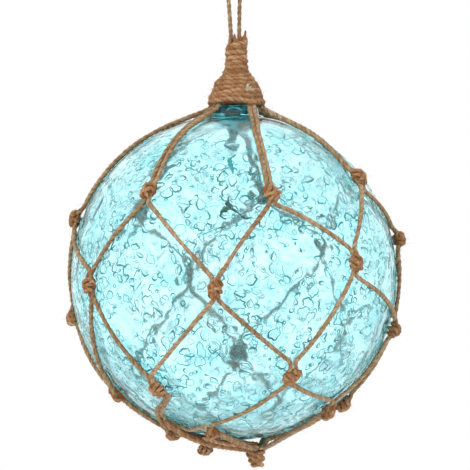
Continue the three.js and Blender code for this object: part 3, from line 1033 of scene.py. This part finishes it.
def collar(material):
    """Turns of twine wound round the gathered cords, from the rim over the neck up to the stalk."""
    wound = Bundle()
    # The turns underneath get a darker tone (0.25) than the outer ones: painted shade where they show between them.
    under = collar_winding(79.6, 106.2, lambda height: 2.2, 1.5, 20, 0.7)
    wound.twine(under, radius=1.2, tone=0.25, groove=0.25, pitch=5.4, rough=0.06, fuzz=0.3)
    over = collar_winding(79.9, 106.8, lambda height: 2.12 + 0.18 * float(eased(np.array(height), 88, 96)), 1.15, 200,
                          0.9)
    tones = 0.42 + wander(len(over), 40, 0.16, chance)
    wound.twine(over, radius=1.22, tone=tones, groove=0.26, pitch=6.0, rough=0.07, swell=0.1)
    # The core under the turns has tone 0, the darkest: painted shade in the gaps between the turns.
    core_profile = [(float(collar_radius(h)) - 1.7, h) for h in np.linspace(79.4, 107.6, 24)]
    add_lathe(wound, core_profile, (COLLAR_X, 0), 24, 0.0)
    shoulder = [[COLLAR_X + 3.9 * math.sin(a), -3.9 * math.cos(a), 107.0 + 0.9 * math.sin(a - 0.4)]
                for a in np.linspace(-0.9, 4.6, 40)]
    wound.twine(relaxed(resampled(shoulder, RING_STEP), 3), radius=1.25, tone=0.5, groove=0.26, ends=(0.3, 0.3),
                rough=0.07)
    for x, y, length in CUT_ENDS:
        foot = np.array([COLLAR_X + x, y, 105.0])
        tip = np.array([COLLAR_X + x * 1.1 + chance.uniform(-0.3, 0.3), y * 1.1, 108.4 + length])
        middle = (foot + tip) / 2 + [chance.uniform(-0.3, 0.3), 0, 0]
        wound.twine(relaxed(resampled([foot, middle, tip], 0.5), 2), radius=chance.uniform(0.6, 0.95), tone=0.4,
                    ends=(1, 0.12), rough=0.1, fuzz=2.0)
    frayed_straw(wound)
    piece = wound.piece("wound_collar", material)
    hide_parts("rope_collar")
    return wound.routes


def frayed_straw(bundle):
    """The pale end of the collar's twine, which comes out of a dark gap at the front right and frays."""
    foot = on_ring(np.array([COLLAR_X, 0, 85.2]), float(collar_radius(85.2)) - 0.3, 24)
    for i in range(11):
        way = direction(60 + chance.uniform(-30, 26), 0) * 0.45
        way = way + np.array([chance.uniform(-0.5, 0.6), 0, chance.uniform(-0.1, 0.9)])
        tip = foot + unit(way) * chance.uniform(1.8, 3.8) + direction(24, 0) * 0.6
        start = foot + np.array([chance.uniform(-0.7, 0.7), 0, chance.uniform(-0.5, 0.5)])
        middle = (start + tip) / 2 + direction(24, 0) * 0.5
        bundle.twine(resampled([start, middle, tip], 0.5), radius=chance.uniform(0.2, 0.34), tone=1.5, groove=0.1,
                     sides=6, ends=(1, 0.3), rough=0.05, fuzz=0)


def add_lathe(bundle, profile, middle, sides, tone):
    """A closed turned solid about an upright line, from its (radius, height) profile, lowest first."""
    corners = []
    for radius, height in profile:
        for k in range(sides):
            angle = 2 * math.pi * k / sides
            corners.append((middle[0] + radius * math.cos(angle), middle[1] + radius * math.sin(angle), height))
    corners = np.array(corners + [(*middle, profile[0][1]), (*middle, profile[-1][1])])
    bundle.add(corners, skin(len(profile), sides), corners * 0.7, np.full(len(corners), tone))


def bottom_knot(material):
    """The rough lump that ties the net's ends, pointed towards its lower right, with the spare ends laid above it."""
    bundle = Bundle()
    point = BOTTOM_KNOT + np.array([0.6, 0.5, -8.0])
    axis = unit(BOTTOM_KNOT + np.array([-0.6, 0, 1.5]) - point)
    beside = unit(np.cross(axis, [0, -1, 0]))
    out = np.cross(beside, axis)
    source = random.Random(77)
    middle = BOTTOM_KNOT + np.array([0.1, -0.3, -3.4])
    # The core has tone 0, the darkest: painted shade where it shows between the turns.
    bundle.lump(middle, (beside, out, axis), (3.3, 2.8, 5.0), 0.0)
    for turns, start, slant, wide, tone in ((3.4, 0.6, 0.30, 3.7, 0.35), (2.6, 3.3, -0.55, 3.9, 0.5)):
        wound = egg_winding(wide, wide * 0.86, 4.9, turns, slant, start, source, -0.80, 0.86)
        wound[:, 0] *= 0.88 + 0.055 * wound[:, 2]
        wound[:, 1] *= 0.88 + 0.055 * wound[:, 2]
        path = relaxed(resampled(wound, 0.5), 2)
        path = path[:, :1] * beside + path[:, 1:2] * out + path[:, 2:] * axis + middle
        bundle.twine(path, radius=1.08, tone=tone, groove=0.3, rough=0.1, swell=0.14, ends=(0.5, 0.3), source=source,
                     fuzz=1.8)
    for places, tone in SPARE_ENDS:
        path = [on_front(x, z, lift) for x, z, lift in places]
        path = relaxed(resampled(path, RING_STEP), 10, LAY_RADIUS)
        bundle.twine(path, radius=1.0, tone=tone, groove=0.3, rough=0.07, swell=0.12, ends=(0.3, 0.6), fuzz=2.2)
    piece = bundle.piece("gathering_knot", material)
    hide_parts("bottom_knot")
    return bundle.routes


# ---------------------------------------------------------------- studio

def studio():
    """The camera, a white backdrop, three soft lights that the glass doesn't show, and a pale floor."""
    scene = bpy.context.scene
    scene.view_settings.view_transform = "Standard"
    lens = bpy.data.cameras.new("camera")
    lens.sensor_width = 36
    lens.lens = 199.8
    lens.clip_start = 0.02
    camera = bpy.data.objects.new("camera", lens)
    camera.location = (np.array([0.46, -1200, 19.3]) + CENTRE) * MM
    camera.rotation_euler = (math.pi / 2, 0, 0)
    scene.collection.objects.link(camera)
    scene.camera = camera
    world = bpy.data.worlds.new("white_studio")
    world.use_nodes = True
    scene.world = world
    tree = world.node_tree
    back = next(n for n in tree.nodes if n.type == "BACKGROUND")
    back.inputs["Color"].default_value = (1, 1, 1, 1)
    start = Socket(tree)
    rays = start.add("ShaderNodeLightPath").socket.node
    camera_ray, through, mirrored = (Socket(tree, rays.outputs[f"Is {kind} Ray"])
                                     for kind in ("Camera", "Transmission", "Glossy"))
    strength = camera_ray * CAMERA_ADDS + through * THROUGH_GLASS_ADDS + mirrored * MIRRORED_ADDS + BACKDROP
    tree.links.new(strength.socket, back.inputs["Strength"])
    for name, place, size, power, colour in (
            ("key_light", (-0.9, -1.1, 0.9), 0.9, 13.0, (1, 0.985, 0.96)),
            ("fill_light", (1.2, -0.7, 0.2), 0.9, 4.0, (0.97, 0.985, 1)),
            ("back_light", (0.3, 1.2, 0.7), 1.0, 6.0, (1, 1, 1))):
        light = bpy.data.lights.new(name, "AREA")
        light.shape = "DISK"
        light.size = size
        light.energy = power
        light.color = colour
        made = bpy.data.objects.new(name, light)
        made.location = np.array(place) + CENTRE * MM
        target = np.array(CENTRE) * MM
        way = target - np.array(made.location)
        made.visible_glossy = False
        made.visible_transmission = False
        made.rotation_euler = Vector(way).to_track_quat("-Z", "Y").to_euler()
        scene.collection.objects.link(made)
    floor_mesh = bpy.data.meshes.new("floor")
    half, level = FLOOR_HALF, FLOOR_LEVEL
    floor_corners = [(-half, -half, level), (half, -half, level), (half, half, level), (-half, half, level)]
    floor_mesh.from_pydata(floor_corners, [], [(0, 1, 2, 3)])
    floor = bpy.data.objects.new("floor", floor_mesh)
    scene.collection.objects.link(floor)
    material, shader, _ = new_material("pale_floor")
    shader.inputs["Base Color"].default_value = (0.97, 0.97, 0.97, 1)
    shader.inputs["Roughness"].default_value = 0.8
    floor_mesh.materials.append(material)


studio()
cord_jute = jute("jute_twine_cords", (0.285, 0.138, 0.060), (0.38, 0.268, 0.130), (0.72, 0.60, 0.44))
wrap_jute = jute("jute_twine_wraps", (0.365, 0.148, 0.058), (0.45, 0.262, 0.120), (0.80, 0.62, 0.43))
routes = hanging_loop(cord_jute)
net_routes = net(cord_jute)
net_routes += knots(wrap_jute)
net_routes += bottom_knot(wrap_jute)
collar_routes = collar(wrap_jute)
fuzz = Bundle()
fuzz.fibres(net_routes, 1.1)
fuzz.fibres(collar_routes, 1.2)
fuzz.fibres(routes, 0.8)
fuzz.piece("loose_fibres", wrap_jute)
chips = scattered_chips(chance)
glass_ball(glass_material(), chips, chance)
glass_seams(chips, seam_material(), chance)
neck_stem(stem_material())
